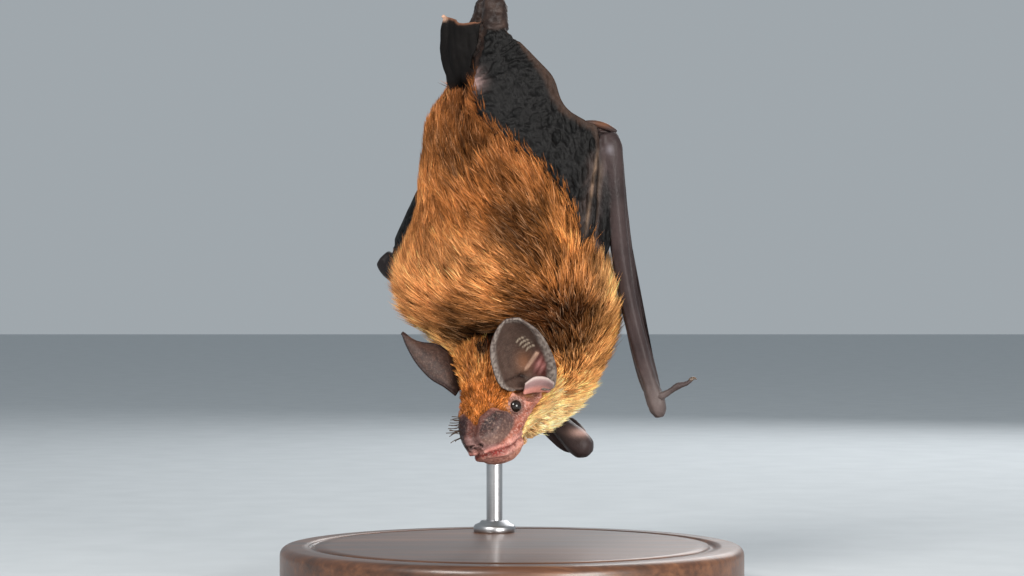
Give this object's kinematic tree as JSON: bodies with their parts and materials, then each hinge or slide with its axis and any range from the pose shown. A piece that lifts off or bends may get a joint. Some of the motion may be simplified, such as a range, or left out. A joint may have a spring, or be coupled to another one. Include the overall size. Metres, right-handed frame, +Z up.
{
  "type": "vesper bat",
  "caption": "Life-size insect-eating bat hanging head down from a cut branch, held by a rod over a round base.",
  "frame": {"origin": "middle of the base's underside", "axes": "+Z up, -Y towards the viewer, who sees the bat's back and the left side of its face"},
  "size_m": [0.088, 0.088, 0.1239],
  "materials": {
    "fur": "short dense golden brown coat",
    "wing_skin": "wrinkled black-brown skin",
    "ear_skin": "thin grey-brown skin",
    "eye": "glossy black",
    "base_wood": "dark satin wood",
    "rod_metal": "satin steel",
    "branch": "rough bark with pale cut ends"
  },
  "bodies": {
    "root": {"ear_left": "ear_skin", "ear_right": "ear_skin", "eye_left": "eye", "eye_right": "eye", "foot_left": "wing_skin", "foot_right": "wing_skin", "forearm_left": "wing_skin", "forearm_right": "wing_skin", "hand_left": "wing_skin", "hand_right": "wing_skin", "head": "fur", "lower_jaw": "fur", "neck": "fur", "shank_left": "wing_skin", "shank_right": "wing_skin", "stand_base": "base_wood", "stand_collar": "rod_metal", "stand_perch": "branch", "stand_rod": "rod_metal", "tail": "wing_skin", "tail_membrane": "wing_skin", "thigh_left": "fur", "thigh_right": "fur", "thumb_left": "wing_skin", "thumb_right": "wing_skin", "tragus_left": "ear_skin", "tragus_right": "ear_skin", "trunk": "fur", "upper_arm_left": "wing_skin", "upper_arm_right": "wing_skin", "wing_membrane_left": "wing_skin", "wing_membrane_right": "wing_skin"}
  },
  "joints": []
}
